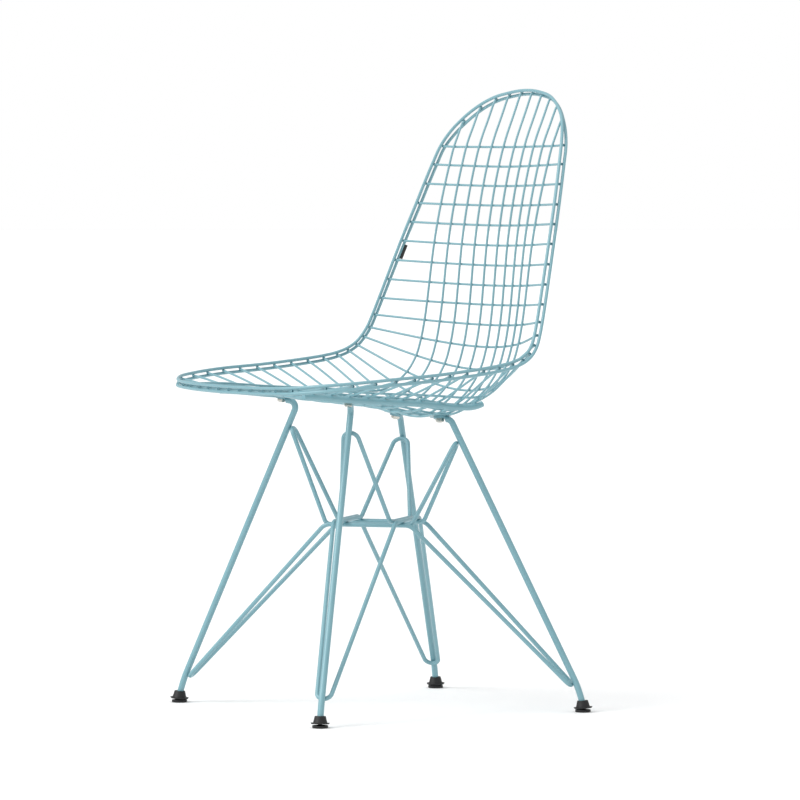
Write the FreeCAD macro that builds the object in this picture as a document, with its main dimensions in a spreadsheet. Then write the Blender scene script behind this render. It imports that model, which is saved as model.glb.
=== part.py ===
import FreeCAD
import Part
import Sketcher
import math
import os

# Wire mesh side chair: a bowl-shaped seat and back welded from thin steel wires,
# held in a double edge wire, on four bent rod legs with a web of bracing loops.
# +Z is up, the sitter faces -Y, and the origin lies on the floor under the middle.

V = FreeCAD.Vector
UP = V(0, 0, 1)

# Every size in millimetres, or in degrees where the name says so.
SIZES = (
    ("shell_width", 479.0, "between the centre lines of the edge wire, side to side"),
    ("shell_depth", 474.8, "from the front edge to the top of the back"),
    ("seat_height", 396.9, "floor to the lowest wires of the bowl"),
    ("back_rise", 439.0, "from there to the top edge of the back"),
    ("wire_diameter", 3.1, "mesh wires"),
    ("wire_pitch", 28.8, "between neighbouring lengthwise wires"),
    ("wire_overhang", 1.4, "how far a mesh wire passes the line of the edge wires"),
    ("edge_diameter", 4.3, "the two edge wires that grip the ends of the mesh wires"),
    ("top_curl_degrees", 22.0, "how far the lengthwise wires turn back at the top edge"),
    ("top_curl_length", 8.0, "from the top edge to where they start to turn back"),
    ("rod_diameter", 8.4, "the two rods under the seat"),
    ("rod_spread", 230.6, "between the two rods"),
    ("rod_front", 181.0, "front end of a rod, ahead of the middle"),
    ("rod_rear", 89.0, "rear end of a rod, behind the middle"),
    ("leg_diameter", 8.6, "legs"),
    ("leg_foot_inset", 7.3, "how far the low bend of a leg lies inside its foot"),
    ("leg_foot_rise", 34.5, "height of that bend"),
    ("leg_foot_bend", 150.0, "radius of that bend"),
    ("leg_top_bend", 9.5, "radius of the bend under the seat"),
    ("front_leg_straight", 4.7, "straight rod between a front leg's fold and its neck"),
    ("rear_leg_straight", 0.3, "straight rod between a rear leg's bend and its neck"),
    ("front_eye_degrees", 6.0, "how far the folded end of a front leg turns sideways"),
    ("rear_eye_degrees", 8.0, "how far the top of a rear leg turns sideways"),
    ("front_foot_across", 394.2, "between the two front feet"),
    ("rear_foot_across", 390.2, "between the two rear feet"),
    ("front_foot_ahead", 202.2, "front feet, ahead of the middle"),
    ("rear_foot_behind", 204.5, "rear feet, behind the middle"),
    ("front_bolt_across", 182.0, "between the two front bolts"),
    ("front_bolt_ahead", 99.0, "front bolts, ahead of the middle"),
    ("rear_bolt_across", 115.0, "between the two rear bolts"),
    ("rear_bolt_behind", 61.6, "rear bolts, behind the middle"),
    ("plate_side", 28.0, "square mounting plates"),
    ("plate_thickness", 1.6, "square mounting plates"),
    ("plate_corner", 4.0, "corner radius of the plates"),
    ("eye_diameter", 17.0, "flattened leg end around the bolt"),
    ("eye_thickness", 3.4, "flattened leg end"),
    ("neck_width", 14.3, "flattened leg end beside the bolt"),
    ("neck_length", 1.9, "where the flattened end swells to the round rod"),
    ("bolt_diameter", 6.0, "thread of the leg bolts"),
    ("bolt_clearance", 0.25, "around the thread in the leg's eye"),
    ("head_flats", 10.0, "bolt head across flats"),
    ("head_height", 5.2, "bolt head"),
    ("head_crown", 5.6, "flat in the middle of the bolt head"),
    ("head_room", 0.35, "between a bolt head's corners and the neck of the leg"),
    ("brace_diameter", 5.9, "bracing loops"),
    ("brace_height", 256.4, "upper layer of the bracing web, above the floor"),
    ("brace_turn", 9.0, "half width of a loop where it turns on a leg"),
    ("upper_bend", 9.0, "bend radius of the upper loops"),
    ("lower_bend", 18.0, "bend radius of the lower loops"),
    ("upper_half_width", 34.4, "half width of the upper loops in the web"),
    ("lower_a_gap", 2.0, "between the two a loops, side by side in the web"),
    ("lower_b_gap", 3.2, "between the two b loops, side by side in the web"),
    ("turn_slack", 0.2, "straight rod left in the middle of a loop's turn"),
    ("a_front", 65.0, "where the a loops leave the web towards their front leg"),
    ("a_rear", 54.0, "where the a loops leave the web towards their rear leg"),
    ("upper_b_front", 65.0, "the same for the upper b loop"),
    ("upper_b_rear", 33.0, "the same for the upper b loop, behind"),
    ("lower_b_front", 70.0, "the same for the lower b loop"),
    ("lower_b_rear", 49.0, "the same for the lower b loop, behind"),
    ("upper_front_weld", 381.3, "height of the upper loop's weld on a front leg"),
    ("upper_rear_weld", 363.3, "height of the upper loop's weld on a rear leg"),
    ("lower_weld", 39.5, "height of the lower loops' welds"),
    ("weld_bite", 0.05, "how deep two welded wires sink into each other"),
    ("ball_diameter", 7.6, "ball stud of a glide"),
    ("ball_height", 7.0, "centre of the ball above the floor"),
    ("ball_clearance", 0.3, "between the ball and its socket"),
    ("stud_diameter", 3.6, "neck between the ball and the pad"),
    ("pad_diameter", 21.0, "glide pad"),
    ("pad_edge", 3.4, "height of the pad's upright edge"),
    ("pad_crown", 4.4, "height of the pad at the stud"),
    ("pad_round", 1.2, "rounding of the pad's lower edge"),
    ("boot_gap", 1.9, "underside of the boot, below the ball's centre"),
    ("boot_height", 10.6, "boot, without the rounding"),
    ("boot_top", 14.5, "diameter of the boot at its top"),
    ("boot_base", 19.0, "diameter of the boot above its lip"),
    ("lip_diameter", 25.5, "lip of the boot"),
    ("lip_thickness", 1.8, "lip of the boot"),
    ("lip_flare", 1.2, "how much the lip widens upwards"),
    ("boot_tilt_degrees", 4.0, "lean of a boot towards the middle"),
    ("leg_end_height", 11.9, "end of a leg inside its boot, above the floor"),
    ("leg_end_inset", 0.5, "end of a leg, inside the line of its foot"),
    ("tag_length", 21.0, "bare plate between the edge wires"),
    ("tag_width", 4.8, "bare plate"),
    ("tag_thickness", 1.0, "bare plate"),
    ("tag_station", 6.5, "place of the plate, counted in cross wires from the top"),
)

doc = FreeCAD.newDocument("WireMeshChair")
sheet = doc.addObject("Spreadsheet::Sheet", "Sizes")
sheet.set("A1", "Name")
sheet.set("B1", "Size")
sheet.set("C1", "Meaning")
for row, (name, value, meaning) in enumerate(SIZES, start=2):
    sheet.set("A%d" % row, name)
    sheet.set("B%d" % row, str(value))
    sheet.set("C%d" % row, meaning)
    sheet.setAlias("B%d" % row, name)
doc.recompute()


def size(name):
    return float(getattr(sheet, name))


# The shell as it was drawn from the chair, in its own width, depth and rise.
# Each row is a cross wire: its number from the top, the point where it meets the
# right-hand edge (x, y, z), its middle (y, z) and how round its section is.
SECTIONS = (
    (1, 159.3, 195.0, 764.0, 206.2, 763.0, 2.26),
    (2, 168.0, 186.4, 738.5, 198.7, 736.0, 2.15),
    (4, 182.8, 169.5, 684.6, 187.4, 682.5, 1.93),
    (6, 196.5, 152.4, 632.0, 179.2, 627.7, 1.62),
    (8, 209.2, 135.5, 578.2, 173.9, 572.9, 1.39),
    (10, 220.5, 119.6, 528.5, 167.8, 519.1, 1.30),
    (11, 224.6, 113.2, 511.0, 162.0, 489.3, 1.30),
    (12, 229.0, 106.4, 498.0, 152.0, 459.2, 1.29),
    (13, 232.4, 97.2, 487.0, 133.6, 431.5, 1.28),
    (14, 235.0, 85.2, 479.0, 111.0, 411.4, 1.32),
    (15, 236.4, 68.7, 473.0, 86.2, 398.6, 1.38),
    (16, 237.0, 47.3, 468.6, 57.4, 398.9, 1.44),
    (17, 238.0, 22.6, 465.2, 27.8, 405.3, 1.42),
    (18, 238.8, -3.4, 462.3, -2.0, 411.6, 1.35),
    (20, 239.5, -56.9, 457.3, -57.0, 418.8, 1.40),
    (22, 238.2, -111.0, 453.6, -111.0, 425.0, 1.52),
    (24, 222.0, -166.6, 448.5, -166.6, 433.7, 1.65),
    (25, 202.0, -196.0, 445.6, -196.0, 436.4, 1.70),
    (26, 160.0, -223.0, 441.6, -223.0, 438.4, 1.80),
)
# The edge above the first cross wire and ahead of the last one.
TOP_EDGE = (
    (-5.70, 0.0, 236.0, 837.6),
    (-4.15, 43.4, 233.5, 834.2),
    (-3.10, 72.2, 229.2, 828.9),
    (-1.97, 101.0, 222.0, 817.7),
    (-0.70, 130.3, 211.5, 798.6),
)
FRONT_EDGE = (
    (26.63, 129.5, -231.0, 440.4),
    (27.20, 101.0, -234.3, 439.6),
    (28.36, 43.4, -238.2, 438.9),
    (29.20, 0.0, -238.8, 438.6),
)
DRAWN_WIDTH = 2 * max(row[1] for row in SECTIONS)
DRAWN_DEPTH = TOP_EDGE[0][2] - FRONT_EDGE[-1][2]
DRAWN_LOW = min(row[5] for row in SECTIONS)
DRAWN_RISE = TOP_EDGE[0][3] - DRAWN_LOW
CROSS_WIRES = 26
SEAT_START = 14
LENGTHWISE_PAIRS = 5


def slopes(xs, ys):
    # Slope of the parabola through each point and its two neighbours.
    out = []
    last = len(xs) - 1
    for i in range(len(xs)):
        j = min(max(i, 1), last - 1)
        left = xs[j] - xs[j - 1]
        right = xs[j + 1] - xs[j]
        rise_left = (ys[j] - ys[j - 1]) / left
        rise_right = (ys[j + 1] - ys[j]) / right
        bend = (rise_right - rise_left) / (left + right)
        out.append(rise_left + bend * (2 * xs[i] - xs[j] - xs[j - 1]))
    return out


def smooth(xs, ys):
    # A smooth function through the points.
    ks = slopes(xs, ys)

    def value(x):
        i = 0
        while i < len(xs) - 2 and x > xs[i + 1]:
            i += 1
        step = xs[i + 1] - xs[i]
        t = (x - xs[i]) / step
        near = ys[i] * (1 + 2 * t) * (1 - t) ** 2 + ks[i] * step * t * (1 - t) ** 2
        far = ys[i + 1] * t * t * (3 - 2 * t) + ks[i + 1] * step * t * t * (t - 1)
        return near + far

    return value


SCALE_X = size("shell_width") / DRAWN_WIDTH
SCALE_Y = size("shell_depth") / DRAWN_DEPTH
SCALE_Z = size("back_rise") / DRAWN_RISE


def fitted(x, y, z):
    # A point of the drawn shell, fitted to the sizes in the sheet.
    return V(x * SCALE_X, y * SCALE_Y, size("seat_height") + (z - DRAWN_LOW) * SCALE_Z)


edge_rows = list(TOP_EDGE) + [row[:4] for row in SECTIONS] + list(FRONT_EDGE)
# The edge runs on over the middle at both ends, mirrored, so it stays smooth there.
edge_rows.insert(0, (2 * TOP_EDGE[0][0] - TOP_EDGE[1][0], -TOP_EDGE[1][1]) + TOP_EDGE[1][2:])
edge_rows.append((2 * FRONT_EDGE[-1][0] - FRONT_EDGE[-2][0], -FRONT_EDGE[-2][1]) + FRONT_EDGE[-2][2:])
edge_at = [row[0] for row in edge_rows]
edge_x = smooth(edge_at, [row[1] for row in edge_rows])
edge_y = smooth(edge_at, [row[2] for row in edge_rows])
edge_z = smooth(edge_at, [row[3] for row in edge_rows])
EDGE_START = TOP_EDGE[0][0]
EDGE_END = FRONT_EDGE[-1][0]
section_at = [row[0] for row in SECTIONS]
middle_y = smooth(section_at, [row[4] for row in SECTIONS])
middle_z = smooth(section_at, [row[5] for row in SECTIONS])
roundness = smooth(section_at, [row[6] for row in SECTIONS])


def edge(v):
    return fitted(edge_x(v), edge_y(v), edge_z(v))


def shell(x, v):
    # The surface that holds the middles of the lengthwise wires, at x on cross section v.
    rim = edge(v)
    middle = fitted(0, middle_y(v), middle_z(v))
    t = abs(x) / rim.x
    a = roundness(v)
    g = a * t * t + (1 - a) * t ** 4
    return V(x, middle.y + (rim.y - middle.y) * g, middle.z + (rim.z - middle.z) * g)


def unit(vector):
    return V(vector) / vector.Length


def facing_sitter(normal):
    return unit(normal) * (1 if normal.dot(V(0, -1, 1)) > 0 else -1)


def shell_normal(x, v):
    across = shell(x + 0.5, v) - shell(x - 0.5, v)
    low = max(v - 0.05, 1)
    high = min(v + 0.05, CROSS_WIRES)
    along = shell(x, high) - shell(x, low)
    return facing_sitter(across.cross(along))


def solve(function, target, low, high):
    # Where a steadily changing function reaches the target.
    rising = function(high) > function(low)
    for _ in range(60):
        middle = (low + high) / 2
        if (function(middle) < target) == rising:
            low = middle
        else:
            high = middle
    return (low + high) / 2


def tangents(points, closed=False):
    # Direction of travel at each point, from the circle-like curve through its neighbours.
    out = []
    count = len(points)
    for i in range(count):
        j = i if closed else min(max(i, 1), count - 2)
        before = points[j] - points[j - 1]
        after = points[(j + 1) % count] - points[j]
        a = before.Length
        b = after.Length
        here = (before * (b / a) + after * (a / b)) / (a + b)
        if i < j:
            here = before * (2 / a) - here
        if i > j:
            here = after * (2 / b) - here
        out.append(unit(here))
    return out


def arc_edge(start, direction, end):
    # The arc that leaves start in the given direction and reaches end.
    chord = end - start
    half = chord.Length / 2
    ahead = unit(chord)
    side = direction - ahead * direction.dot(ahead)
    if side.Length < 1e-6:
        return Part.LineSegment(start, end).toShape()
    swing = math.atan2(side.Length, direction.dot(ahead))
    crown = (start + end) / 2 + unit(side) * (half * math.tan(swing / 2))
    return Part.Arc(start, crown, end).toShape()


def curve(points, closed=False):
    # Pairs of tangent arcs from point to point.
    ways = tangents(points, closed)
    pieces = []
    for i in range(len(points) if closed else len(points) - 1):
        j = (i + 1) % len(points)
        gap = points[j] - points[i]
        both = ways[i] + ways[j]
        lean = 2 * (1 - ways[i].dot(ways[j]))
        if lean < 1e-9:
            reach = gap.dot(gap) / (2 * gap.dot(both))
        else:
            reach = (math.sqrt(gap.dot(both) ** 2 + lean * gap.dot(gap)) - gap.dot(both)) / lean
        first = points[i] + ways[i] * reach
        second = points[j] - ways[j] * reach
        joint = (first + second) / 2
        pieces.append(arc_edge(points[i], ways[i], joint))
        pieces.append(arc_edge(joint, unit(second - first), points[j]))
    return Part.Wire(pieces)


def bent(points, radii, closed=False):
    # Straight runs with a rounded bend at each corner, as a rod is bent.
    count = len(points)
    trims = []
    for i in range(count):
        if not closed and i in (0, count - 1):
            trims.append((points[i], None, points[i]))
            continue
        back = unit(points[i - 1] - points[i])
        ahead = unit(points[(i + 1) % count] - points[i])
        half = back.getAngle(ahead) / 2
        cut = radii[i] / math.tan(half)
        inward = unit(back + ahead)
        crown = points[i] + inward * (radii[i] / math.sin(half) - radii[i])
        trims.append((points[i] + back * cut, crown, points[i] + ahead * cut))
    pieces = []
    for i, (enter, crown, leave) in enumerate(trims):
        if crown is not None:
            pieces.append(Part.Arc(enter, crown, leave).toShape())
        if closed or i < count - 1:
            onward = trims[(i + 1) % count][0]
            pieces.append(Part.LineSegment(leave, onward).toShape())
    return Part.Wire(pieces)


def rod(name, path, diameter):
    # A round rod along a path, its thickness taken from the named size.
    spine = doc.addObject("Part::Feature", name + "_path")
    spine.Shape = path
    section = doc.addObject("Part::Circle", name + "_section")
    section.setExpression("Radius", "Sizes.%s / 2" % diameter)
    first = path.OrderedEdges[0]
    section.Placement = FreeCAD.Placement(
        path.OrderedVertexes[0].Point, FreeCAD.Rotation(UP, first.tangentAt(first.FirstParameter)))
    sweep = doc.addObject("Part::Sweep", name + "_sweep")
    sweep.Sections = [section]
    sweep.Spine = (spine, [])
    sweep.Solid = True
    sweep.Frenet = False
    return sweep


pieces = {}


def keep(name, thing):
    thing.Label = name
    pieces[name] = thing
    return thing


wire_radius = size("wire_diameter") / 2
edge_offset = wire_radius + size("edge_diameter") / 2 - size("weld_bite")
line_x = [(i + 0.5) * size("wire_pitch") for i in range(LENGTHWISE_PAIRS)]


# Lengthwise wires run from the top edge to the front edge, on the sitter's side.
def lengthwise_end(x, top):
    if top:
        v = solve(lambda s: edge(s).x, x, EDGE_START, 1)
        onward = unit(edge(v) - shell(x, 1))
        curl = FreeCAD.Rotation(V(-1, 0, 0), size("top_curl_degrees"))
        return v, edge(v), curl.multVec(onward)
    v = solve(lambda s: edge(s).x, x, CROSS_WIRES - 1, EDGE_END)
    return v, edge(v), unit(edge(v) - shell(x, CROSS_WIRES))


def lengthwise_path(x):
    side = 1 if x > 0 else -1
    points = []
    top = lengthwise_end(abs(x), True)
    front = lengthwise_end(abs(x), False)
    points.append(top[1] + top[2] * size("wire_overhang"))
    # The wire runs straight up to its curl, and the curl starts a little under the edge.
    points.append(top[1] - top[2] * size("edge_diameter") / 2)
    curl_foot = top[1] - top[2] * size("edge_diameter")
    onward = unit(curl_foot - shell(abs(x), 1))
    points.append(curl_foot - onward * size("top_curl_length"))
    points.append(curl_foot - onward * 2 * size("top_curl_length"))
    for v in range(1, CROSS_WIRES + 1):
        points.append(shell(abs(x), v))
    points.append(front[1] + front[2] * size("wire_overhang"))
    return curve([V(side * p.x, p.y, p.z) for p in points])


for number, x in enumerate([-x for x in reversed(line_x)] + line_x, start=1):
    name = "lengthwise_wire_%02d" % number
    keep(name, rod(name, lengthwise_path(x), "wire_diameter"))


# Cross wires pass behind and below them, and swing out to the edge at both ends.
def cross_half(v):
    rim = edge(v)
    crossings = [x for x in line_x if x < rim.x - 2 * size("edge_diameter")]
    spread = rim.x - crossings[-1]
    spans = 3 if spread > size("wire_pitch") * 1.4 else 2
    extra = [crossings[-1] + spread * i / spans for i in range(1, spans)]
    points = []
    for x in crossings + extra:
        free = max(0.0, (x - crossings[-1]) / spread)
        sunk = (size("wire_diameter") - size("weld_bite")) * (1 - free)
        points.append(shell(x, v) - shell_normal(x, v) * sunk)
    outward = unit(rim - points[-1])
    points.append(rim + outward * size("wire_overhang"))
    return points


def cross_path(v):
    half = cross_half(v)
    left = [V(-p.x, p.y, p.z) for p in reversed(half)]
    return curve(left + half)


for v in range(1, CROSS_WIRES + 1):
    name = "cross_wire_%02d" % v
    keep(name, rod(name, cross_path(v), "wire_diameter"))


# Two edge wires grip all the wire ends between them.
def edge_stations():
    # Each station: place along the edge and the direction of the wire that ends there.
    stations = []
    for x in line_x:
        for top in (True, False):
            v, point, outward = lengthwise_end(x, top)
            stations.append((v, outward))
    for v in range(1, CROSS_WIRES + 1):
        half = cross_half(v)
        stations.append((v, unit(half[-1] - half[-2])))
    stations.sort(key=lambda s: s[0])
    filled = []
    for here, after in zip(stations, stations[1:] + [None]):
        filled.append(here)
        if after and (edge(after[0]) - edge(here[0])).Length > 1.5 * size("wire_pitch"):
            filled.append(((here[0] + after[0]) / 2, unit(here[1] + after[1])))
    return filled


def edge_points(side):
    right = []
    for v, outward in edge_stations():
        run = edge(v + 0.05) - edge(v - 0.05)
        right.append(edge(v) + facing_sitter(run.cross(outward)) * (side * edge_offset))
    left = [V(-p.x, p.y, p.z) for p in reversed(right)]
    return right + left


for name, side in (("edge_wire_inner", 1), ("edge_wire_outer", -1)):
    keep(name, rod(name, curve(edge_points(side), closed=True), "edge_diameter"))


# Two thick rods lie under the cross wires from front to back.
def under_shell(x, v, depth):
    return shell(x, v) - shell_normal(x, v) * depth


def section_through(x, y):
    # The place along the shell where it passes over a given y, in the seat.
    return solve(lambda s: shell(x, s).y, y, SEAT_START, CROSS_WIRES)


mesh_depth = 1.5 * size("wire_diameter") - size("weld_bite")
rod_depth = mesh_depth + size("rod_diameter") / 2 - size("weld_bite")
rod_x = size("rod_spread") / 2
first_v = section_through(rod_x, size("rod_rear"))
last_v = section_through(rod_x, -size("rod_front"))
stops = [first_v] + [v for v in range(1, CROSS_WIRES) if first_v + 0.08 < v < last_v - 0.3] + [last_v]
for name, side in (("seat_rod_left", -1), ("seat_rod_right", 1)):
    points = [under_shell(rod_x, v, rod_depth) for v in stops]
    keep(name, rod(name, curve([V(side * p.x, p.y, p.z) for p in points]), "rod_diameter"))


# Where the legs are bolted on: square plates under the cross wires.
def mount(x, y):
    v = section_through(x, y)
    normal = shell_normal(x, v)
    return shell(x, v), normal


corners = (
    ("front_right", 1, size("front_bolt_across") / 2, -size("front_bolt_ahead"),
     size("front_foot_across") / 2, -size("front_foot_ahead")),
    ("front_left", -1, size("front_bolt_across") / 2, -size("front_bolt_ahead"),
     size("front_foot_across") / 2, -size("front_foot_ahead")),
    ("rear_right", 1, size("rear_bolt_across") / 2, size("rear_bolt_behind"),
     size("rear_foot_across") / 2, size("rear_foot_behind")),
    ("rear_left", -1, size("rear_bolt_across") / 2, size("rear_bolt_behind"),
     size("rear_foot_across") / 2, size("rear_foot_behind")),
)


class Corner:
    # The frame in which one leg is built: plate, eye, bolt and foot.
    def __init__(self, name, side, bolt_x, bolt_y, foot_x, foot_y):
        self.name = name
        self.front = name.startswith("front")
        point, normal = mount(bolt_x, bolt_y)
        self.point = V(side * point.x, point.y, point.z)
        self.normal = V(side * normal.x, normal.y, normal.z)
        self.foot = V(side * foot_x, foot_y, 0)
        level = self.point - self.foot
        self.inward = unit(V(level.x, level.y, 0))
        self.sideways = unit(UP.cross(self.inward))
        # The leg reaches the plate from inside at the front and from outside behind.
        along = self.inward - self.normal * self.inward.dot(self.normal)
        self.away = unit(along) * (1 if self.front else -1)
        degrees = size("front_eye_degrees") if self.front else size("rear_eye_degrees")
        self.away = FreeCAD.Rotation(self.normal, side * degrees).multVec(self.away)
        self.plate_top = mesh_depth
        self.eye_top = self.plate_top + size("plate_thickness")

    def under(self, depth):
        return self.point - self.normal * depth

    def plate_turn(self):
        across = self.normal.cross(self.away)
        return FreeCAD.Rotation(self.away, across, self.normal, "XYZ")


frames = [Corner(*entry) for entry in corners]

# One plate, drawn flat with its bolt hole, and set under the seat four times.
plate = doc.addObject("PartDesign::Body", "plate")


def origin_plane(body, role):
    return [f for f in body.Origin.OriginFeatures if f.Role == role][0]


outline = plate.newObject("Sketcher::SketchObject", "plate_outline")
outline.AttachmentSupport = (origin_plane(plate, "XY_Plane"), [""])
outline.MapMode = "FlatFace"
half_side = size("plate_side") / 2
square = [V(half_side, half_side, 0), V(-half_side, half_side, 0),
          V(-half_side, -half_side, 0), V(half_side, -half_side, 0)]
for i in range(4):
    outline.addGeometry(Part.LineSegment(square[i], square[(i + 1) % 4]), False)
outline.addGeometry(Part.Circle(V(0, 0, 0), UP, size("bolt_diameter") / 2), False)
for i in range(4):
    outline.addConstraint(Sketcher.Constraint("Coincident", i, 2, (i + 1) % 4, 1))
for i in (0, 2):
    outline.addConstraint(Sketcher.Constraint("Horizontal", i))
    outline.addConstraint(Sketcher.Constraint("Vertical", i + 1))
outline.addConstraint(Sketcher.Constraint("Symmetric", 0, 1, 2, 1, -1, 1))
outline.addConstraint(Sketcher.Constraint("Coincident", 4, 3, -1, 1))
wide = outline.addConstraint(Sketcher.Constraint("DistanceX", 0, 2, 0, 1, size("plate_side")))
deep = outline.addConstraint(Sketcher.Constraint("DistanceY", 1, 2, 1, 1, size("plate_side")))
hole = outline.addConstraint(Sketcher.Constraint("Radius", 4, size("bolt_diameter") / 2))
outline.setExpression("Constraints[%d]" % wide, "Sizes.plate_side")
outline.setExpression("Constraints[%d]" % deep, "Sizes.plate_side")
outline.setExpression("Constraints[%d]" % hole, "Sizes.bolt_diameter / 2")
slab = plate.newObject("PartDesign::Pad", "plate_slab")
slab.Profile = outline
slab.setExpression("Length", "Sizes.plate_thickness")
doc.recompute()
upright = ["Edge%d" % (i + 1) for i, e in enumerate(slab.Shape.Edges)
           if len(e.Vertexes) == 2 and abs(e.tangentAt(e.FirstParameter).z) > 0.9
           and e.Curve.TypeId == "Part::GeomLine" and abs(e.Vertexes[0].X) > half_side - 0.01]
rounded = plate.newObject("PartDesign::Fillet", "plate_corners")
rounded.Base = (slab, upright)
rounded.setExpression("Radius", "Sizes.plate_corner")
plate.Tip = rounded

# One bolt: a hexagonal head below, a thread up through the eye into the plate.
head = doc.addObject("Part::Prism", "bolt_head")
head.Polygon = 6
head.setExpression("Circumradius", "Sizes.head_flats / sqrt(3)")
head.setExpression("Height", "Sizes.head_height")
head.setExpression(".Placement.Base.z", "-Sizes.head_height")
dome = doc.addObject("Part::Sphere", "bolt_dome")
dome.setExpression("Radius", "Sizes.head_flats")
dome.setExpression(
    ".Placement.Base.z",
    "sqrt(Sizes.head_flats ^ 2 - (Sizes.head_crown / 2) ^ 2) - Sizes.head_height")
cap = doc.addObject("Part::Common", "bolt_cap")
cap.Base = head
cap.Tool = dome
thread = doc.addObject("Part::Cylinder", "bolt_thread")
thread.setExpression("Radius", "Sizes.bolt_diameter / 2")
thread.setExpression("Height", "Sizes.eye_thickness + Sizes.plate_thickness")
bolt = doc.addObject("Part::Fuse", "bolt")
bolt.Base = cap
bolt.Tool = thread
doc.recompute()


def group(name, source, placements):
    # Separate copies of one finished piece, at their places.
    copies = []
    for placement in placements:
        copy = source.Shape.copy()
        copy.Placement = placement
        copies.append(copy)
    thing = doc.addObject("Part::Feature", name)
    thing.Shape = Part.makeCompound(copies)
    return keep(name, thing)


group("mounting_plates", plate,
      [FreeCAD.Placement(f.under(f.eye_top), f.plate_turn()) for f in frames])
group("leg_bolts", bolt,
      [FreeCAD.Placement(f.under(f.eye_top + size("eye_thickness")), f.plate_turn()) for f in frames])


# Legs: a rod from the boot up to a bend under the seat, then a flattened eye.
neck_start = size("head_flats") / math.sqrt(3) + size("head_room")
neck_end = neck_start + size("neck_length")


def leg_corners(frame):
    rod_axis = frame.eye_top + size("leg_diameter") / 2
    foot_end = frame.foot + frame.inward * size("leg_end_inset") + UP * size("leg_end_height")
    low_bend = frame.foot + frame.inward * size("leg_foot_inset") + UP * size("leg_foot_rise")
    straight = size("front_leg_straight") if frame.front else size("rear_leg_straight")

    def level_run(reach):
        # Straight rod left between the bend and the neck, with the corner this far out.
        corner = frame.under(rod_axis) + frame.away * reach
        turn = (low_bend - corner).getAngle(-frame.away)
        return reach - neck_end - size("leg_top_bend") / math.tan(turn / 2)

    reach = solve(level_run, straight, neck_end, size("rod_spread"))
    high_bend = frame.under(rod_axis) + frame.away * reach
    return [foot_end, low_bend, high_bend, frame.under(rod_axis) + frame.away * neck_end]


legs = {}
for frame in frames:
    name = "leg_" + frame.name
    points = leg_corners(frame)
    legs[frame.name] = points
    shaft = rod(name, bent(points, [0, size("leg_foot_bend"), size("leg_top_bend"), 0]), "leg_diameter")
    doc.recompute()
    turn = frame.plate_turn()
    round_end = doc.addObject("Part::Circle", name + "_round_end")
    round_end.setExpression("Radius", "Sizes.leg_diameter / 2")
    round_end.Placement = FreeCAD.Placement(points[3], FreeCAD.Rotation(UP, frame.away))
    flat_end = doc.addObject("Part::Ellipse", name + "_flat_end")
    flat_end.setExpression("MajorRadius", "Sizes.neck_width / 2")
    flat_end.setExpression("MinorRadius", "Sizes.eye_thickness / 2")
    flat_centre = frame.under(frame.eye_top + size("eye_thickness") / 2) + frame.away * neck_start
    across = unit(frame.normal.cross(frame.away))
    flat_end.Placement = FreeCAD.Placement(flat_centre, FreeCAD.Rotation(across, V(), frame.away, "ZXY"))
    round_end.Placement = FreeCAD.Placement(points[3], FreeCAD.Rotation(across, V(), frame.away, "ZXY"))
    neck = doc.addObject("Part::Loft", name + "_neck")
    neck.Sections = [flat_end, round_end]
    neck.Solid = True
    neck.Ruled = True
    disc = doc.addObject("Part::Cylinder", name + "_disc")
    disc.setExpression("Radius", "Sizes.eye_diameter / 2")
    disc.setExpression("Height", "Sizes.eye_thickness")
    disc.Placement = FreeCAD.Placement(frame.under(frame.eye_top + size("eye_thickness")), turn)
    whole = doc.addObject("Part::MultiFuse", name + "_whole")
    whole.Shapes = [shaft, neck, disc]
    drill = doc.addObject("Part::Cylinder", name + "_drill")
    drill.setExpression("Radius", "Sizes.bolt_diameter / 2 + Sizes.bolt_clearance")
    drill.setExpression("Height", "Sizes.eye_thickness * 3")
    drill.Placement = FreeCAD.Placement(frame.under(frame.eye_top + size("eye_thickness") * 2), turn)
    leg = doc.addObject("Part::Cut", name + "_eye")
    leg.Base = whole
    leg.Tool = drill
    keep(name, leg)


# Bracing: closed loops, each welded to two opposite legs on their inner side.
def weld_point(frame, height):
    # The middle of a loop's turn, beside the leg at the given height.
    low = legs[frame.name][1]
    high = legs[frame.name][2]
    foot_end = legs[frame.name][0]
    if height < low.z:
        a, b = foot_end, low
    else:
        a, b = low, high
    spot = a + (b - a) * ((height - a.z) / (b.z - a.z))
    line = unit(b - a)
    inner = unit(frame.inward - line * frame.inward.dot(line))
    # Beside the low bend the rod lies a little inside the corner of its two runs.
    turn = (foot_end - low).getAngle(high - low)
    cut = size("leg_foot_bend") / math.tan(turn / 2)
    past = cut - abs(height - low.z)
    if past > 0:
        spot = spot + inner * (past ** 2 / (2 * size("leg_foot_bend")))
    gap = (size("leg_diameter") + size("brace_diameter")) / 2 - size("weld_bite")
    return spot + inner * gap


def half_loop(frame, height, outward, run, middle, half_width, bend, level):
    # From the middle of one straight run, round the turn on the leg, to the other run.
    side = UP.cross(outward)
    weld = weld_point(frame, height)
    half_turn = size("brace_turn")
    points = []
    for s in (-1, 1):
        points.append(outward * middle + side * (s * half_width) + UP * level)
        points.append(outward * run + side * (s * half_width) + UP * level)
        points.append(weld + side * (s * half_turn))
    points = points[:3] + points[:2:-1]
    # The turn is as round as its width allows.
    turns = []
    for i in (2, 3):
        inner = (points[i - 1] - points[i]).getAngle(points[i + 1] - points[i])
        turns.append((half_turn - size("turn_slack") / 2) * math.tan(inner / 2))
    return bent(points, [0, bend] + turns + [bend, 0])


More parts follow.
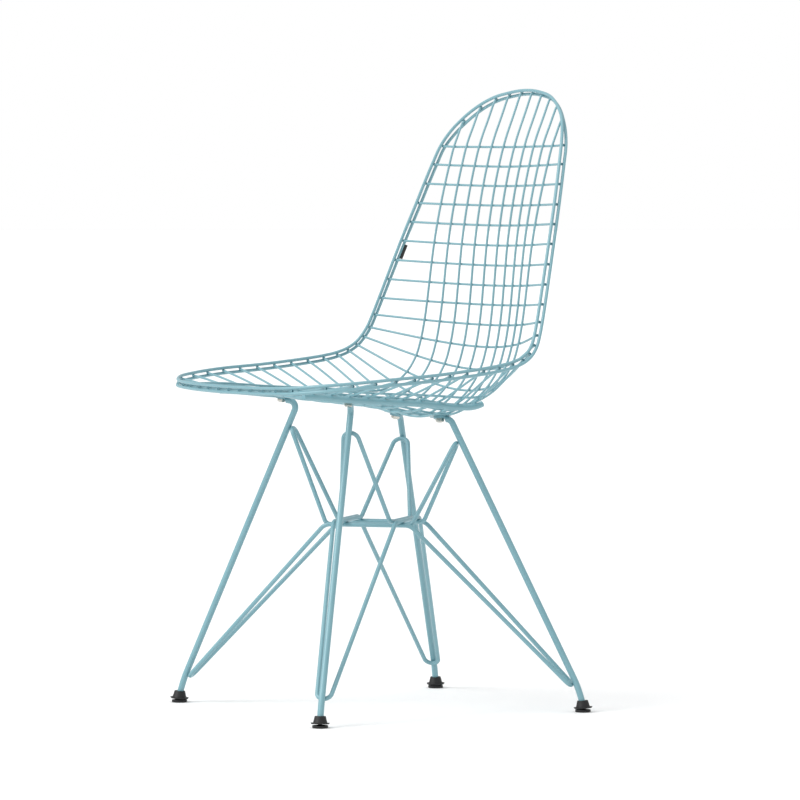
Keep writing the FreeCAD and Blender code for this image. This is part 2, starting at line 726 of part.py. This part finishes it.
layer = size("brace_diameter") - size("weld_bite")
top_layer = size("brace_height")
nested = size("upper_half_width") + size("brace_diameter")
by_name = {frame.name: frame for frame in frames}
loops = (
    ("upper_a", "front_left", "rear_right", "a_front", "a_rear", top_layer - layer, size("upper_half_width")),
    ("upper_b", "front_right", "rear_left", "upper_b_front", "upper_b_rear", top_layer, size("upper_half_width")),
    ("lower_a", "front_left", "rear_right", "a_front", "a_rear", top_layer - layer, nested + size("lower_a_gap")),
    ("lower_b", "front_right", "rear_left", "lower_b_front", "lower_b_rear", top_layer, nested + size("lower_b_gap")),
)
for kind, front_name, rear_name, front_size, rear_size, level, half_width in loops:
    name = "brace_loop_" + kind
    upper = kind.startswith("upper")
    front = by_name[front_name]
    rear = by_name[rear_name]
    forward = unit(front.foot - rear.foot)
    front_run = size(front_size)
    rear_run = size(rear_size)
    middle = (front_run - rear_run) / 2
    bend = size("upper_bend") if upper else size("lower_bend")
    front_weld = size("upper_front_weld") if upper else size("lower_weld")
    rear_weld = size("upper_rear_weld") if upper else size("lower_weld")
    loop = doc.addObject("Part::Fuse", name + "_loop")
    loop.Base = rod(name + "_front", half_loop(
        front, front_weld, forward, front_run, middle, half_width, bend, level), "brace_diameter")
    loop.Tool = rod(name + "_rear", half_loop(
        rear, rear_weld, -forward, rear_run, -middle, half_width, bend, level), "brace_diameter")
    loop.Refine = True
    keep(name, loop)


# Feet: a boot on each leg's end with a ball socket, and a pad that tilts in it.
def primitive(kind, name, expressions, placement=None):
    thing = doc.addObject(kind, name)
    for field, expression in expressions.items():
        thing.setExpression(field, expression)
    if placement is not None:
        thing.Placement = placement
    return thing


pad_disc = primitive("Part::Cylinder", "pad_disc", {
    "Radius": "Sizes.pad_diameter / 2", "Height": "Sizes.pad_edge"})
doc.recompute()
pad_rim = doc.addObject("Part::Fillet", "pad_rim")
pad_rim.Base = pad_disc
lower_edges = [i + 1 for i, e in enumerate(pad_disc.Shape.Edges)
               if e.Curve.TypeId == "Part::GeomCircle" and abs(e.Curve.Center.z) < 1e-6]
pad_rim.Edges = [(i, size("pad_round"), size("pad_round")) for i in lower_edges]
pad_cone = primitive("Part::Cone", "pad_cone", {
    "Radius1": "Sizes.pad_diameter / 2", "Radius2": "Sizes.stud_diameter / 2",
    "Height": "Sizes.pad_crown - Sizes.pad_edge", ".Placement.Base.z": "Sizes.pad_edge"})
pad_stud = primitive("Part::Cylinder", "pad_stud", {
    "Radius": "Sizes.stud_diameter / 2", "Height": "Sizes.ball_height - Sizes.pad_edge / 2",
    ".Placement.Base.z": "Sizes.pad_edge / 2"})
pad_ball = primitive("Part::Sphere", "pad_ball", {
    "Radius": "Sizes.ball_diameter / 2", ".Placement.Base.z": "Sizes.ball_height"})
pad_shape = doc.addObject("Part::MultiFuse", "pad_shape")
pad_shape.Shapes = [pad_rim, pad_cone, pad_stud, pad_ball]
doc.recompute()

for frame in frames:
    name = "foot_boot_" + frame.name
    centre = frame.foot + UP * size("ball_height")
    tilt = math.radians(size("boot_tilt_degrees"))
    axis = UP * math.cos(tilt) + frame.inward * math.sin(tilt)
    lean = FreeCAD.Rotation(UP, axis)
    base = FreeCAD.Placement(centre - axis * size("boot_gap"), lean)
    lip = primitive("Part::Cone", name + "_lip", {
        "Radius1": "Sizes.lip_diameter / 2 - Sizes.lip_flare", "Radius2": "Sizes.lip_diameter / 2",
        "Height": "Sizes.lip_thickness"}, base)
    shoulder = FreeCAD.Placement(centre + axis * (size("lip_thickness") - size("boot_gap")), lean)
    body = primitive("Part::Cone", name + "_body", {
        "Radius1": "Sizes.boot_base / 2", "Radius2": "Sizes.boot_top / 2",
        "Height": "Sizes.boot_height - Sizes.lip_thickness"}, shoulder)
    solid = doc.addObject("Part::Fuse", name + "_solid")
    solid.Base = lip
    solid.Tool = body
    socket = primitive("Part::Sphere", name + "_socket", {
        "Radius": "Sizes.ball_diameter / 2 + Sizes.ball_clearance"},
        FreeCAD.Placement(centre, FreeCAD.Rotation()))
    hollow = doc.addObject("Part::Cut", name + "_hollow")
    hollow.Base = solid
    hollow.Tool = socket
    points = legs[frame.name]
    along = unit(points[1] - points[0])
    bore = primitive("Part::Cylinder", name + "_bore", {
        "Radius": "Sizes.leg_diameter / 2", "Height": "Sizes.boot_height"},
        FreeCAD.Placement(points[0], FreeCAD.Rotation(UP, along)))
    boot = doc.addObject("Part::Cut", name + "_shape")
    boot.Base = hollow
    boot.Tool = bore
    keep(name, boot)

for frame in frames:
    name = "glide_pad_" + frame.name
    thing = doc.addObject("Part::Feature", name)
    thing.Shape = pad_shape.Shape.copy()
    thing.Placement = FreeCAD.Placement(frame.foot, FreeCAD.Rotation(UP, 0))
    keep(name, thing)

# A bare plate lies inside the edge on the left, against the outer edge wire.
station = size("tag_station")
run = unit(edge(station + 0.05) - edge(station - 0.05))
half = cross_half(round(station))
outward = unit(half[-1] - half[-2])
normal = facing_sitter(run.cross(outward))
outward = unit(outward - normal * outward.dot(normal) - run * outward.dot(run))
edge_radius = size("edge_diameter") / 2
# The edge wire bends away from a straight plate, which stands clear of its bulge.
bulge = 0.0
for step in range(-5, 6):
    v = station + 0.1 * step * size("tag_length") / size("wire_pitch")
    turn = facing_sitter((edge(v + 0.05) - edge(v - 0.05)).cross(outward))
    spot = edge(v) - turn * edge_offset - edge(station) + normal * edge_offset
    bulge = max(bulge, -spot.dot(outward))
seat = edge_radius + bulge
tag = primitive("Part::Box", "tag_box", {
    "Length": "Sizes.tag_thickness", "Width": "Sizes.tag_width", "Height": "Sizes.tag_length"})
back = edge_offset
place = edge(station) - outward * (seat + size("tag_thickness")) - normal * back - run * (size("tag_length") / 2)
mirrored = [V(-v.x, v.y, v.z) for v in (place, outward, normal, run)]
tag.Placement = FreeCAD.Placement(
    mirrored[0], FreeCAD.Rotation(mirrored[1], mirrored[2], mirrored[3], "ZXY"))
keep("edge_tag", tag)

doc.recompute()

# Nothing is written unless every feature was built and every piece is sound.
for thing in doc.Objects:
    if "Invalid" in thing.State or "Error" in thing.State:
        raise RuntimeError("not built: " + thing.Label)
for name, thing in pieces.items():
    if thing.Shape.isNull() or not thing.Shape.isValid() or not thing.Shape.Solids:
        raise RuntimeError("not sound: " + name)

os.makedirs("parts", exist_ok=True)
for name, thing in pieces.items():
    thing.Shape.exportStep("parts/" + name + ".step")

box = FreeCAD.BoundBox()
for thing in pieces.values():
    box.add(thing.Shape.BoundBox)
print("pieces", len(pieces))
print("x %.2f %.2f  y %.2f %.2f  z %.2f %.2f" % (box.XMin, box.XMax, box.YMin, box.YMax, box.ZMin, box.ZMax))
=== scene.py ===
# %% [markdown]
# # A wire mesh chair
# The real chair is a bowl of thin steel wires, welded where they cross and gripped at their ends
# by two edge wires. It stands on four bent rods with a web of bracing, and the steel has one
# satin coat of sky blue powder. Every rod and wire is already there as a solid in the frame,
# so this lesson gives them their finish, adds the weld seams that a close look shows, and
# remakes the small moulded and pressed pieces with softened edges.

# %% Load the frame
import math

import bmesh
import bpy
import numpy as np
from mathutils import Matrix, Vector
from mathutils.geometry import intersect_line_line
from mathutils.kdtree import KDTree


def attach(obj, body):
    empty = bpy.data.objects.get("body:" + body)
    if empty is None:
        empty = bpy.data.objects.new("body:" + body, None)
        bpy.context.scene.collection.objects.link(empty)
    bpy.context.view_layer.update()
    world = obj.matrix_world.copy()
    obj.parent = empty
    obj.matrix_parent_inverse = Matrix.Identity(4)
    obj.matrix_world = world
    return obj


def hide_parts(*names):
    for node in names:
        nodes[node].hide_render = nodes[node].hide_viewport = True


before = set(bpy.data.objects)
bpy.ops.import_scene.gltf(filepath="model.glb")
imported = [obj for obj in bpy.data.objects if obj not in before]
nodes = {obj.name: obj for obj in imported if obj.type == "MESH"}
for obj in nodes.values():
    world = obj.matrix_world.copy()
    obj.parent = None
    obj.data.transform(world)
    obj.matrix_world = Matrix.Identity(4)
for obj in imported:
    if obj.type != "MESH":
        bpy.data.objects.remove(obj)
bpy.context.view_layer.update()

MM = 0.001

# %% [markdown]
# ## Adding up shader values
# A finish is a sum of small effects: a base colour, a slow drift, fine grain. Wiring each one by
# hand hides that sum, so this class wraps a socket and lets plain Python arithmetic add the nodes.
# Everything that isn't a sum goes through `node`, which takes a type, its settings and its sockets.


# %% A value that can be used in sums
class Signal:
    def __init__(self, tree, socket=None):
        self.tree = tree
        self.socket = socket

    def node(self, kind, settings=None, sockets=None, output=0):
        made = self.tree.nodes.new(kind)
        for name, value in (settings or {}).items():
            if name == "stops":
                ramp = made.color_ramp.elements
                while len(ramp) < len(value):
                    ramp.new(0.5)
                for stop, (place, shade) in zip(ramp, value):
                    stop.position = place
                    stop.color = shade
            else:
                setattr(made, name, value)
        for name, value in (sockets or {}).items():
            if isinstance(value, Signal):
                self.tree.links.new(value.socket, made.inputs[name])
            else:
                made.inputs[name].default_value = value
        return Signal(self.tree, made.outputs[output])

    def sum(self, operation, first, second):
        return self.node("ShaderNodeMath", {"operation": operation}, {0: first, 1: second})

    def __add__(self, other):
        return self.sum("ADD", self, other)

    __radd__ = __add__

    def __sub__(self, other):
        return self.sum("SUBTRACT", self, other)

    def __rsub__(self, other):
        return self.sum("SUBTRACT", other, self)

    def __mul__(self, other):
        return self.sum("MULTIPLY", self, other)

    __rmul__ = __mul__


print("a signal adds, subtracts and multiplies:", [n for n in vars(Signal) if n.startswith("__r")])


# %% [markdown]
# ## Small tools for every finish
# Noise in object coordinates keeps its size in real millimetres on every piece, because all
# pieces share one origin. `band` turns a noise into a soft mask, `blend` mixes two colours by a
# mask, and `bumped` turns a height into a tilted normal. `close_finish` ends every material.


# %% Noise, masks and colour mixing
def start_finish(name):
    material = bpy.data.materials.new(name)
    material.use_nodes = True
    material.node_tree.nodes.clear()
    begin = Signal(material.node_tree)
    place = begin.node("ShaderNodeTexCoord", output="Object")
    return material, begin, place


def noise(place, grain_mm, detail=2.0, rough=0.5):
    return place.node("ShaderNodeTexNoise", {}, {
        "Vector": place, "Scale": 1.0 / (grain_mm * MM), "Detail": detail, "Roughness": rough}, "Fac")


def band(value, low, high):
    return value.node("ShaderNodeMapRange", {"interpolation_type": "SMOOTHSTEP"}, {
        "Value": value, "From Min": low, "From Max": high}, "Result")


def blend(mask, first, second):
    # Sockets 0, 6 and 7 are the factor and the two colours; output 2 is the mixed colour.
    return mask.node("ShaderNodeMix", {"data_type": "RGBA"}, {0: mask, 6: first, 7: second}, 2)


def bumped(height, reach_mm, strength, under=None):
    sockets = {"Height": height, "Distance": reach_mm * MM, "Strength": strength}
    if under is not None:
        sockets["Normal"] = under
    return height.node("ShaderNodeBump", {}, sockets, "Normal")


def close_finish(material, begin, **sockets):
    named = {name.replace("_", " "): value for name, value in sockets.items()}
    shader = begin.node("ShaderNodeBsdfPrincipled", {}, named, "BSDF")
    out = material.node_tree.nodes.new("ShaderNodeOutputMaterial")
    material.node_tree.links.new(shader.socket, out.inputs["Surface"])
    print(material.name, "has", len(material.node_tree.nodes), "nodes")
    return material


# %% [markdown]
# ## Sky blue powder coat
# Powder is sprayed on dry and baked, so it flows into a satin skin with a faint orange peel under
# a millimetre across. The pigment itself is a deep blue green. What makes it look pale is the
# broad white sheen of the skin, so the sheen comes from the gloss here and not from the colour.
# The coat is a touch thinner and darker in places, and each value carries its own noise.


# %% The powder coat
def powder_coat(name, peel_mm, peel_depth):
    material, begin, place = start_finish(name)
    drift = band(noise(place, 60.0, 3.0), 0.35, 0.65)
    speck = noise(place, 1.6, 3.0)
    colour = blend(drift, (0.150, 0.346, 0.402, 1), (0.166, 0.366, 0.420, 1))
    colour = blend(band(speck, 0.62, 0.80) * 0.35, colour, (0.105, 0.280, 0.340, 1))
    rough = 0.42 + 0.08 * drift + 0.06 * speck
    peel = noise(place, peel_mm, 1.0)
    return close_finish(
        material, begin, Base_Color=colour, Roughness=rough, Metallic=0.0, Specular_IOR_Level=1.0,
        Coat_Weight=0.45, Coat_Roughness=0.30, Normal=bumped(peel, peel_depth, 0.6))


thin_coat = powder_coat("powder_coat_on_wire", 0.7, 0.02)
thick_coat = powder_coat("powder_coat_on_rod", 1.0, 0.03)

# %% [markdown]
# ## Zinc, rubber and nylon
# The bolts are zinc plated, cloudy and a little yellow beside the coat. The boots are soft black
# rubber that holds a little dust, and the pads are black nylon, scuffed where they slide on floors.


# %% The three small finishes
def bright_zinc(name):
    material, begin, place = start_finish(name)
    cloud = noise(place, 4.0, 4.0)
    colour = blend(cloud, (0.40, 0.40, 0.36, 1), (0.74, 0.73, 0.68, 1))
    fine = noise(place, 0.25, 2.0)
    return close_finish(
        material, begin, Base_Color=colour, Metallic=1.0,
        Roughness=0.14 + 0.14 * cloud + 0.05 * fine, Normal=bumped(fine, 0.01, 0.5))


def dark_moulding(name, base, dusty, rough, grain_mm, depth):
    material, begin, place = start_finish(name)
    dust = band(noise(place, 7.0, 4.0, 0.6), 0.50, 0.72)
    grain = noise(place, grain_mm, 2.0)
    colour = blend(dust * 0.5, base, dusty)
    return close_finish(
        material, begin, Base_Color=colour, Roughness=rough + 0.12 * dust + 0.08 * grain,
        Normal=bumped(grain, depth, 0.7))


zinc = bright_zinc("bright_zinc")
rubber = dark_moulding(
    "black_rubber", (0.005, 0.005, 0.006, 1), (0.020, 0.019, 0.018, 1), 0.50, 0.5, 0.03)
nylon = dark_moulding(
    "black_nylon", (0.004, 0.004, 0.005, 1), (0.014, 0.014, 0.014, 1), 0.44, 0.3, 0.02)
plate_black = dark_moulding(
    "black_plate", (0.004, 0.004, 0.004, 1), (0.010, 0.010, 0.010, 1), 0.50, 0.4, 0.01)


# %% Put the finishes on the frame's solids
def finish_for(name):
    if name == "leg_bolts":
        return zinc
    if name.startswith("foot_boot"):
        return rubber
    if name.startswith("glide_pad"):
        return nylon
    if name == "edge_tag":
        return plate_black
    if name.startswith(("lengthwise", "cross", "edge_wire")):
        return thin_coat
    return thick_coat


for name, thing in nodes.items():
    thing.data.materials.clear()
    thing.data.materials.append(finish_for(name))
print("finishes on", len(nodes), "solids")

# %% [markdown]
# ## Softened boots, pads, bolts and plates
# Moulded rubber and pressed steel have no knife edges. Each of these pieces is a copy of its solid:
# the copy's loose triangles are merged, flat faces are made whole again, and every sharp edge gets
# a small round, so that it catches a line of light as the real one does.


# %% A copy with rounded edges
SAME_POINT = 0.002 * MM
FLAT_DEGREES = 2.0
CREASE_DEGREES = 50.0


def softened(name, node, round_mm, steps, sharp_degrees):
    source = nodes[node]
    work = bmesh.new()
    work.from_mesh(source.data)
    bmesh.ops.remove_doubles(work, verts=work.verts, dist=SAME_POINT)
    bmesh.ops.dissolve_limit(
        work, angle_limit=math.radians(FLAT_DEGREES), verts=work.verts, edges=work.edges)
    sharp = [e for e in work.edges
             if len(e.link_faces) == 2 and e.calc_face_angle() > math.radians(sharp_degrees)]
    bmesh.ops.bevel(
        work, geom=sharp, affect="EDGES", offset=round_mm * MM, segments=steps, profile=0.5,
        material=-1, clamp_overlap=True)
    bmesh.ops.recalc_face_normals(work, faces=work.faces)
    mesh = bpy.data.meshes.new(name)
    work.to_mesh(mesh)
    work.free()
    mesh.shade_smooth()
    mesh.set_sharp_from_angle(angle=math.radians(CREASE_DEGREES))
    mesh.materials.append(finish_for(node))
    piece = bpy.data.objects.new(name, mesh)
    bpy.context.scene.collection.objects.link(piece)
    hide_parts(node)
    print(name, "rounds", len(sharp), "edges,", len(mesh.polygons), "faces")
    return piece


# %% Four boots and four pads
for corner in ("front_right", "front_left", "rear_right", "rear_left"):
    boot = softened("boot_" + corner, "foot_boot_" + corner, 0.45, 3, 35.0)
    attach(boot, "frame")
    pad = softened("pad_" + corner, "glide_pad_" + corner, 0.30, 2, 35.0)
    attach(pad, "glide_" + corner)

# %% The bolts, the mounting plates and the bare plate
bolts = softened("bolts_under_seat", "leg_bolts", 0.35, 3, 25.0)
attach(bolts, "frame")
plates = softened("plates_under_seat", "mounting_plates", 0.40, 2, 40.0)
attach(plates, "frame")
bare_plate = softened("bare_edge_plate", "edge_tag", 0.20, 2, 40.0)
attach(bare_plate, "frame")

# %% [markdown]
# ## Welds and cut ends
# Every crossing of two wires is a resistance weld: the wires sink together a little and a low bead
# is squeezed out around the touch. To find the touches, each wire's middle line is read back from
# its skin, because a point of a round wire lies one radius out along its own normal. The beads are
# copies of one small flat ball with few faces, because there are several hundred of them.


# %% The middle line and the two cut ends of a wire
WIRE_RADIUS = 1.55 * MM
ROD_RADIUS = 4.2 * MM
LINE_STEP = 3.0 * MM
RIM_DEGREES = 60.0


def wire_lines(node, radius):
    # The points of the skin that belong to a cut end lie on its sharp rim.
    tube = bmesh.new()
    tube.from_mesh(nodes[node].data)
    bmesh.ops.remove_doubles(tube, verts=tube.verts, dist=SAME_POINT)
    tube.normal_update()
    cut = set()
    for e in tube.edges:
        if len(e.link_faces) == 2 and e.calc_face_angle() > math.radians(RIM_DEGREES):
            cut.update(e.verts)
    middle = [v.co - v.normal * radius for v in tube.verts if v not in cut]
    rim = [v.co.copy() for v in cut]
    tube.free()
    far = max(rim, key=lambda c: (c - rim[0]).length)
    ends = []
    for a, b in ((rim[0], far), (far, rim[0])):
        near = [c for c in rim if (c - a).length < (c - b).length]
        ends.append(sum(near, Vector()) / len(near))
    return middle, ends


def in_order(points, key):
    # The skin has many points at each place along the wire, so only spaced ones are kept, and
    # long straight stretches are filled in.
    kept = []
    for point in sorted(points, key=key):
        if not kept or (point - kept[-1]).length > 0.5 * LINE_STEP:
            kept.append(point)
    line = []
    for a, b in zip(kept, kept[1:]):
        count = int((b - a).length / LINE_STEP) + 1
        line += [a.lerp(b, i / count) for i in range(count)]
    return line + kept[-1:]


print("lines are read with a point every", round(LINE_STEP / MM, 1), "mm")

# %% Read all the mesh wires
bowl_middle = Vector((0, -0.15, 0.75))


def across(c):
    return c.x


def lengthwise(c):
    return c.y


def round_the_bowl(c):
    return math.atan2(c.z - bowl_middle.z, c.y - bowl_middle.y)


def whole_line(wire, key):
    skin, ends = wire
    return in_order([ends[0]] + skin + [ends[1]], key)


mesh_names = [name for name in nodes if name.startswith(("lengthwise", "cross"))]
wires = {name: wire_lines(name, WIRE_RADIUS) for name in mesh_names}
long_lines = {n: whole_line(w, round_the_bowl) for n, w in wires.items() if n.startswith("length")}
cross_lines = {n: whole_line(w, across) for n, w in wires.items() if n.startswith("cross")}
rod_lines = {n: in_order(wire_lines(n, ROD_RADIUS)[0], lengthwise)
             for n in nodes if n.startswith("seat_rod")}
print("wires read:", len(long_lines), "lengthwise,", len(cross_lines), "cross,",
      len(rod_lines), "rods,", sum(len(line) for line in long_lines.values()), "points lengthwise")


# %% Where two lines pass each other at the welding distance
def touches(first, second, gap, share):
    # Each touch is its place, a share of the way from the first line to the second, and its way.
    found = []
    for line in first.values():
        tree = KDTree(len(line))
        for i, c in enumerate(line):
            tree.insert(c, i)
        tree.balance()
        for other in second.values():
            nearest = [tree.find(c) for c in other]
            j = min(range(1, len(other) - 1), key=lambda n: nearest[n][2])
            i = min(max(nearest[j][1], 1), len(line) - 2)
            pair = intersect_line_line(line[i - 1], line[i + 1], other[j - 1], other[j + 1])
            if pair and (pair[0] - pair[1]).length < gap and nearest[j][2] < 2 * gap:
                found.append((pair[0].lerp(pair[1], share), (pair[1] - pair[0]).normalized()))
    return found


MESH_REACH = 3.9 * MM
ROD_REACH = 6.8 * MM
mesh_touches = touches(long_lines, cross_lines, MESH_REACH, 0.5)
rod_share = ROD_RADIUS / (ROD_RADIUS + WIRE_RADIUS)
rod_touches = touches(rod_lines, cross_lines, ROD_REACH, rod_share)
rim_touches = []
for name, (skin, ends) in wires.items():
    for end in ends:
        line = long_lines.get(name) or cross_lines.get(name)
        inner = min(line, key=lambda c: abs((c - end).length - LINE_STEP))
        rim_touches.append((end, (end - inner).normalized()))
print("touches:", len(mesh_touches), "in the mesh,", len(rod_touches), "on the rods,",
      len(rim_touches), "at the edge")


# %% One low bead, copied to every touch
def scatter(name, spots, template, material):
    work = bmesh.new()
    shape = bpy.data.meshes.new(name + "_one")
    template.to_mesh(shape)
    for place, way in spots:
        before = len(work.verts)
        work.from_mesh(shape)
        work.verts.ensure_lookup_table()
        turn = way.to_track_quat("Z", "Y").to_matrix().to_4x4()
        bmesh.ops.transform(work, matrix=Matrix.Translation(place) @ turn, verts=work.verts[before:])
    mesh = bpy.data.meshes.new(name)
    work.to_mesh(mesh)
    work.free()
    bpy.data.meshes.remove(shape)
    mesh.shade_smooth()
    mesh.materials.append(material)
    piece = bpy.data.objects.new(name, mesh)
    bpy.context.scene.collection.objects.link(piece)
    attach(piece, "frame")
    print(name, len(spots), "copies,", len(mesh.polygons), "faces")
    return piece


bead = bmesh.new()
bmesh.ops.create_uvsphere(bead, u_segments=10, v_segments=6, radius=1.0)
bmesh.ops.scale(bead, vec=(1.85 * MM, 1.85 * MM, 1.05 * MM), verts=bead.verts)
scatter("mesh_welds", mesh_touches, bead, thin_coat)
# The beads on the rods are about a quarter larger.
bmesh.ops.scale(bead, vec=(1.25, 1.25, 1.3), verts=bead.verts)
scatter("rod_welds", rod_touches, bead, thin_coat)
bead.free()

# %% The seam where the edge wires grip each wire
SEAM_DEPTH = 1.5 * MM
grip = bmesh.new()
bmesh.ops.create_uvsphere(grip, u_segments=10, v_segments=6, radius=1.0)
bmesh.ops.scale(grip, vec=(2.1 * MM, 2.1 * MM, 1.1 * MM), verts=grip.verts)
inside = [(place - way * SEAM_DEPTH, way) for place, way in rim_touches]
scatter("edge_welds", inside, grip, thin_coat)
grip.free()

# %% [markdown]
# ## The cut ends
# The cutter leaves a small hollow in each wire end, with little powder in it. The ends read as dark
# dots between the two edge wires because they face away from the light, and that shade is painted
# into their colour here. A disc with its middle pushed in makes the hollow.


# %% Hollows in the cut ends, coloured with painted shade
def cut_end_painted_shade(name):
    material, begin, place = start_finish(name)
    painted_shade_noise = noise(place, 1.2, 3.0)
    # The dark blue is painted shade of the end faces, and a noise varies it a little.
    colour = blend(painted_shade_noise, (0.020, 0.090, 0.125, 1), (0.055, 0.180, 0.230, 1))
    return close_finish(
        material, begin, Base_Color=colour, Roughness=0.5 + 0.2 * painted_shade_noise,
        Normal=bumped(noise(place, 0.3, 2.0), 0.02, 0.6))


hollow = bmesh.new()
bmesh.ops.create_circle(hollow, cap_ends=True, segments=12, radius=1.35 * MM)
bmesh.ops.translate(hollow, vec=(0, 0, 0.06 * MM), verts=hollow.verts)
bmesh.ops.inset_region(
    hollow, faces=hollow.faces[:], thickness=0.45 * MM, depth=-0.04 * MM, use_even_offset=True)
scatter("wire_end_hollows", rim_touches, hollow, cut_end_painted_shade("painted_shade_cut_end"))
hollow.free()

# %% [markdown]
# ## Floor, light and camera
# The chair was photographed against white in even studio light, from a little above the seat and a
# long way off, so the lens is long and the legs hardly taper.

# %% The floor
FLOOR_RADIUS = 60.0
ground = bmesh.new()
bmesh.ops.create_circle(ground, cap_ends=True, segments=96, radius=FLOOR_RADIUS)
floor_mesh = bpy.data.meshes.new("studio_floor")
ground.to_mesh(floor_mesh)
ground.free()
floor = bpy.data.objects.new("studio_floor", floor_mesh)
bpy.context.scene.collection.objects.link(floor)
material, begin, place = start_finish("pale_floor")
floor_mesh.materials.append(close_finish(
    material, begin, Roughness=0.9,
    Base_Color=blend(noise(place, 900.0), (0.94, 0.94, 0.94, 1), (0.96, 0.96, 0.96, 1))))
print("floor of radius", FLOOR_RADIUS, "m at height 0")

# %% The light
world = bpy.data.worlds.new("studio")
bpy.context.scene.world = world
world.use_nodes = True
sky = Signal(world.node_tree)
world.node_tree.nodes.clear()
seen = sky.node("ShaderNodeLightPath", output="Is Camera Ray")
# White where it is seen directly, a little dimmer as light.
strength = 0.72 + 0.28 * seen
glow = sky.node("ShaderNodeBackground", {}, {"Color": (1, 1, 1, 1), "Strength": strength})
out = world.node_tree.nodes.new("ShaderNodeOutputWorld")
world.node_tree.links.new(glow.socket, out.inputs["Surface"])


def sun(name, azimuth, height, power, spread):
    lamp = bpy.data.lights.new(name, "SUN")
    lamp.energy = power
    lamp.angle = math.radians(spread)
    holder = bpy.data.objects.new(name, lamp)
    a = math.radians(azimuth)
    e = math.radians(height)
    away = Vector((math.sin(a) * math.cos(e), -math.cos(a) * math.cos(e), math.sin(e)))
    holder.rotation_euler = (-away).to_track_quat("-Z", "Y").to_euler()
    bpy.context.scene.collection.objects.link(holder)
    return holder


# An azimuth of 0 is in front of the chair, and it grows towards +X.
sun("key_softbox", -8.0, 42.0, 1.6, 28.0)
sun("top_softbox", 40.0, 78.0, 0.55, 60.0)

# %% The camera
LENS_MM = 238.3
SENSOR_MM = 36.0
SHIFT = 0.000625
look = Vector((-0.8637, 0.5021, -0.0427))
camera = bpy.data.objects.new("photo_camera", bpy.data.cameras.new("photo_camera"))
bpy.context.scene.collection.objects.link(camera)
camera.data.sensor_width = SENSOR_MM
camera.data.lens = LENS_MM
camera.data.clip_end = 200.0
camera.data.shift_x = -SHIFT
camera.data.shift_y = SHIFT
camera.location = (6.213, -3.578, 0.7233)
camera.rotation_euler = look.to_track_quat("-Z", "Y").to_euler()
bpy.context.scene.camera = camera
bpy.context.scene.view_settings.view_transform = "Standard"
print("camera stands", round(camera.location.length, 3), "m from the origin")
